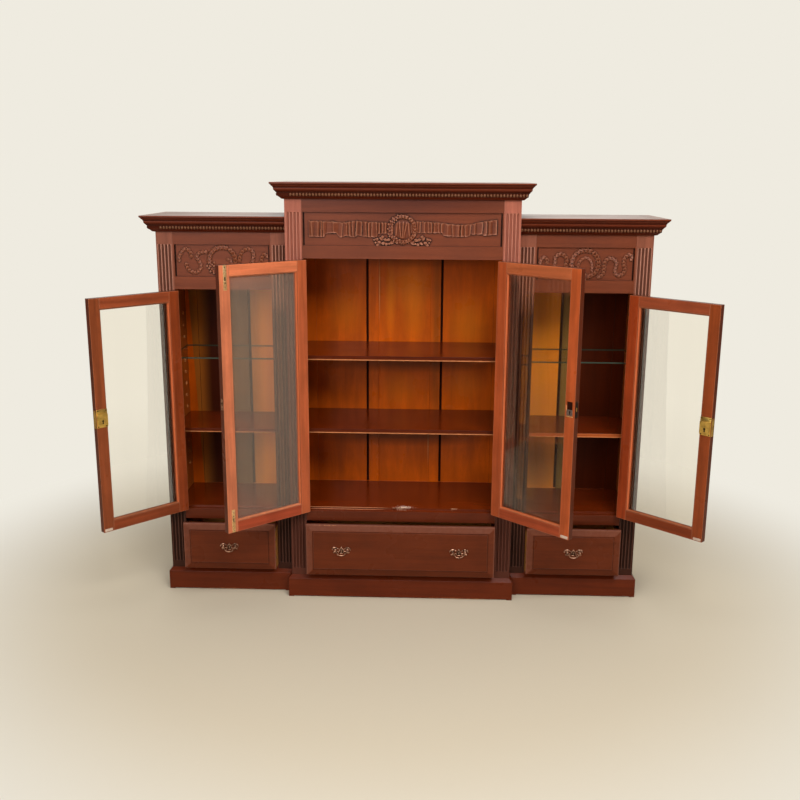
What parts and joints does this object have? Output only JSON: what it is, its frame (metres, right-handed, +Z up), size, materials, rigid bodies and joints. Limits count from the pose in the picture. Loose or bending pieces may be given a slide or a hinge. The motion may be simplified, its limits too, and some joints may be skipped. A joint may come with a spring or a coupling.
{
  "type": "bookcase",
  "caption": "Breakfront bookcase with a tall centre bay and lower wings, glazed doors over shelves, fluted pilasters, carved friezes and drawers below.",
  "frame": {"origin": "middle of the underside of the plinth's rear rail, on the floor", "axes": "+X to the right seen from the front, +Y towards the wall behind, +Z up"},
  "size_m": [2.2999, 0.6714, 1.666],
  "materials": {
    "mahogany": "french polished",
    "door_mahogany": "french polished",
    "shelf_mahogany": "satin varnish",
    "back_wood": "satin varnish",
    "clear_glass": "polished",
    "brass": "satin",
    "aged_brass": "worn"
  },
  "bodies": {
    "case": {"plinth": "mahogany", "centre_left_side": "mahogany", "left_outer_side": "mahogany", "centre_left_pilaster": "mahogany", "left_inner_pilaster": "mahogany", "left_outer_pilaster": "mahogany", "left_glass_shelf": "clear_glass", "left_wood_shelf": "shelf_mahogany", "left_frieze": "mahogany", "left_cornice": "mahogany", "left_floor": "mahogany", "centre_right_side": "mahogany", "right_outer_side": "mahogany", "centre_right_pilaster": "mahogany", "right_inner_pilaster": "mahogany", "right_outer_pilaster": "mahogany", "right_glass_shelf": "clear_glass", "right_wood_shelf": "shelf_mahogany", "right_frieze": "mahogany", "right_cornice": "mahogany", "right_floor": "mahogany", "centre_frieze": "mahogany", "centre_cornice": "mahogany", "centre_floor": "mahogany", "back_boards": "back_wood", "centre_upper_shelf": "shelf_mahogany", "centre_lower_shelf": "shelf_mahogany", "left_wing_lower_hinge": "brass", "left_wing_upper_hinge": "brass", "left_centre_lower_hinge": "brass", "left_centre_upper_hinge": "brass", "right_centre_lower_hinge": "brass", "right_centre_upper_hinge": "brass", "right_wing_lower_hinge": "brass", "right_wing_upper_hinge": "brass"},
    "left_wing_door": {"left_wing_door_frame": "door_mahogany", "left_wing_door_glass": "clear_glass"},
    "left_centre_door": {"left_centre_door_frame": "door_mahogany", "left_centre_door_glass": "clear_glass"},
    "right_centre_door": {"right_centre_door_frame": "door_mahogany", "right_centre_door_glass": "clear_glass"},
    "right_wing_door": {"right_wing_door_frame": "door_mahogany", "right_wing_door_glass": "clear_glass"},
    "left_wing_lock_bolt": {"left_wing_lock_bolt": "brass"},
    "right_centre_lock_bolt": {"right_centre_lock_bolt": "brass"},
    "right_wing_lock_bolt": {"right_wing_lock_bolt": "brass"},
    "left_centre_upper_flush_bolt": {"left_centre_upper_flush_bolt": "brass"},
    "left_centre_lower_flush_bolt": {"left_centre_lower_flush_bolt": "brass"},
    "centre_drawer": {"centre_drawer": "mahogany", "centre_left_pull_plate": "aged_brass", "centre_right_pull_plate": "aged_brass"},
    "left_drawer": {"left_drawer": "mahogany", "left_pull_plate": "aged_brass"},
    "right_drawer": {"right_drawer": "mahogany", "right_pull_plate": "aged_brass"},
    "centre_left_bail": {"centre_left_bail": "aged_brass"},
    "centre_right_bail": {"centre_right_bail": "aged_brass"},
    "left_bail": {"left_bail": "aged_brass"},
    "right_bail": {"right_bail": "aged_brass"}
  },
  "joints": [
    {"name": "left_wing_door_hinge", "type": "hinge", "parent": "case", "child": "left_wing_door", "pos_m": [-0.8885, -0.3265, 0.806], "axis": [0, 0, -1], "range_deg": [-133, 37]},
    {"name": "left_centre_door_hinge", "type": "hinge", "parent": "case", "child": "left_centre_door", "pos_m": [-0.3795, -0.3805, 0.88], "axis": [0, 0, -1], "range_deg": [-137.5, 32.5]},
    {"name": "right_centre_door_hinge", "type": "hinge", "parent": "case", "child": "right_centre_door", "pos_m": [0.3795, -0.3805, 0.88], "axis": [0, 0, 1], "range_deg": [-136.5, 33.5]},
    {"name": "right_wing_door_hinge", "type": "hinge", "parent": "case", "child": "right_wing_door", "pos_m": [0.8885, -0.3265, 0.806], "axis": [0, 0, 1], "range_deg": [-136, 34]},
    {"name": "centre_drawer_slide", "type": "slide", "parent": "case", "child": "centre_drawer", "axis": [0, -1, 0], "range_m": [-0.05, 0.19]},
    {"name": "left_drawer_slide", "type": "slide", "parent": "case", "child": "left_drawer", "axis": [0, -1, 0], "range_m": [-0.06, 0.13]},
    {"name": "right_drawer_slide", "type": "slide", "parent": "case", "child": "right_drawer", "axis": [0, -1, 0], "range_m": [-0.06, 0.13]},
    {"name": "centre_left_bail_hinge", "type": "hinge", "parent": "centre_drawer", "child": "centre_left_bail", "pos_m": [-0.2365, -0.4375, 0.22115], "axis": [-1, 0, 0], "range_deg": [0, 100]},
    {"name": "centre_right_bail_hinge", "type": "hinge", "parent": "centre_drawer", "child": "centre_right_bail", "pos_m": [0.2365, -0.4375, 0.22115], "axis": [-1, 0, 0], "range_deg": [0, 100]},
    {"name": "left_bail_hinge", "type": "hinge", "parent": "left_drawer", "child": "left_bail", "pos_m": [-0.69965, -0.3935, 0.21115], "axis": [-1, 0, 0], "range_deg": [0, 100]},
    {"name": "right_bail_hinge", "type": "hinge", "parent": "right_drawer", "child": "right_bail", "pos_m": [0.69965, -0.3935, 0.21115], "axis": [-1, 0, 0], "range_deg": [0, 100]},
    {"name": "left_centre_upper_flush_bolt_slide", "type": "slide", "parent": "left_centre_door", "child": "left_centre_upper_flush_bolt", "axis": [0, 0, 1], "range_m": [0, 0.009]},
    {"name": "left_centre_lower_flush_bolt_slide", "type": "slide", "parent": "left_centre_door", "child": "left_centre_lower_flush_bolt", "axis": [0, 0, -1], "range_m": [0, 0.009]},
    {"name": "left_wing_lock_bolt_slide", "type": "slide", "parent": "left_wing_door", "child": "left_wing_lock_bolt", "axis": [-0.682, -0.7314, 0], "range_m": [0, 0.008]},
    {"name": "right_centre_lock_bolt_slide", "type": "slide", "parent": "right_centre_door", "child": "right_centre_lock_bolt", "axis": [0.7254, -0.6884, 0], "range_m": [0, 0.008]},
    {"name": "right_wing_lock_bolt_slide", "type": "slide", "parent": "right_wing_door", "child": "right_wing_lock_bolt", "axis": [0.7193, -0.6947, 0], "range_m": [0, 0.008]}
  ]
}
